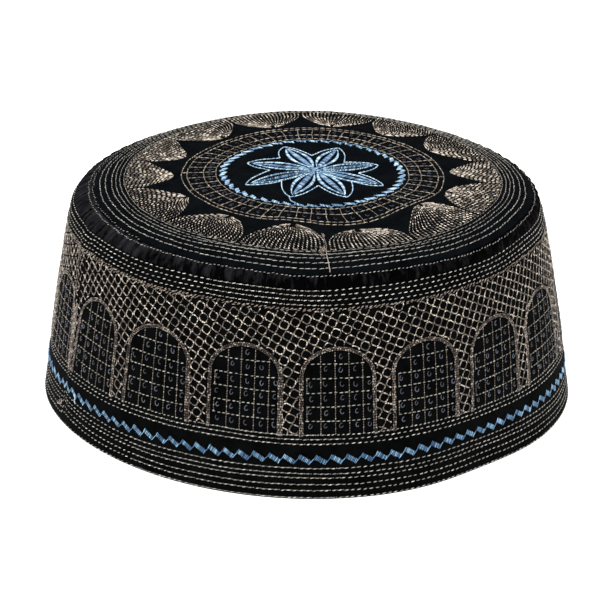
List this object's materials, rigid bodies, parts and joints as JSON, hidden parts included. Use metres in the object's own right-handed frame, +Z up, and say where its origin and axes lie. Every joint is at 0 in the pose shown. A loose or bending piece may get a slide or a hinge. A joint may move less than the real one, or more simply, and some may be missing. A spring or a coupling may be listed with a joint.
{
  "type": "prayer cap",
  "caption": "Round embroidered prayer cap: a stiff oval side band, a puckered edge and a flat, slightly domed crown, open underneath for the head.",
  "frame": {"origin": "middle of the bottom edge, on the surface that the cap rests on", "axes": "+Z up through the crown, -Y towards the front, +X to the wearer's left as seen from the front"},
  "size_m": [0.1948, 0.1854, 0.0874],
  "materials": {
    "side_cloth": "matt black cotton covered with taupe and blue stitching",
    "edge_cloth": "matt black puckered cotton",
    "crown_cloth": "matt black cotton with taupe and blue stitching"
  },
  "bodies": {
    "root": {"side_wall": "side_cloth", "gathered_edge": "edge_cloth", "crown_tip": "crown_cloth"}
  },
  "joints": []
}
